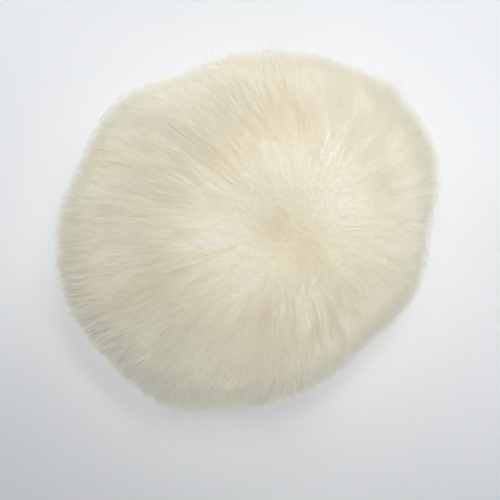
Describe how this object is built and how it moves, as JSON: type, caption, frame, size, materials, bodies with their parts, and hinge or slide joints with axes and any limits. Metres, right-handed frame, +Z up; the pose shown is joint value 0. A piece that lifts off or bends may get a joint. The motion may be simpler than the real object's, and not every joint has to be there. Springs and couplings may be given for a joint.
{
  "type": "pom pom",
  "caption": "Round cream fur pom pom with dense soft pile parted from an off-centre whorl, resting on a small flat spot.",
  "frame": {"origin": "middle of the outline seen from above, on the surface that the pom pom rests on", "axes": "+Z up, the direction in which the ball is pressed shallowest; +X across the widest, towards the side on which the whorl lies"},
  "size_m": [0.08, 0.0754, 0.046],
  "materials": {
    "fur": "soft matte pile with a faint sheen"
  },
  "bodies": {
    "root": {"fur_ball": "fur"}
  },
  "joints": []
}
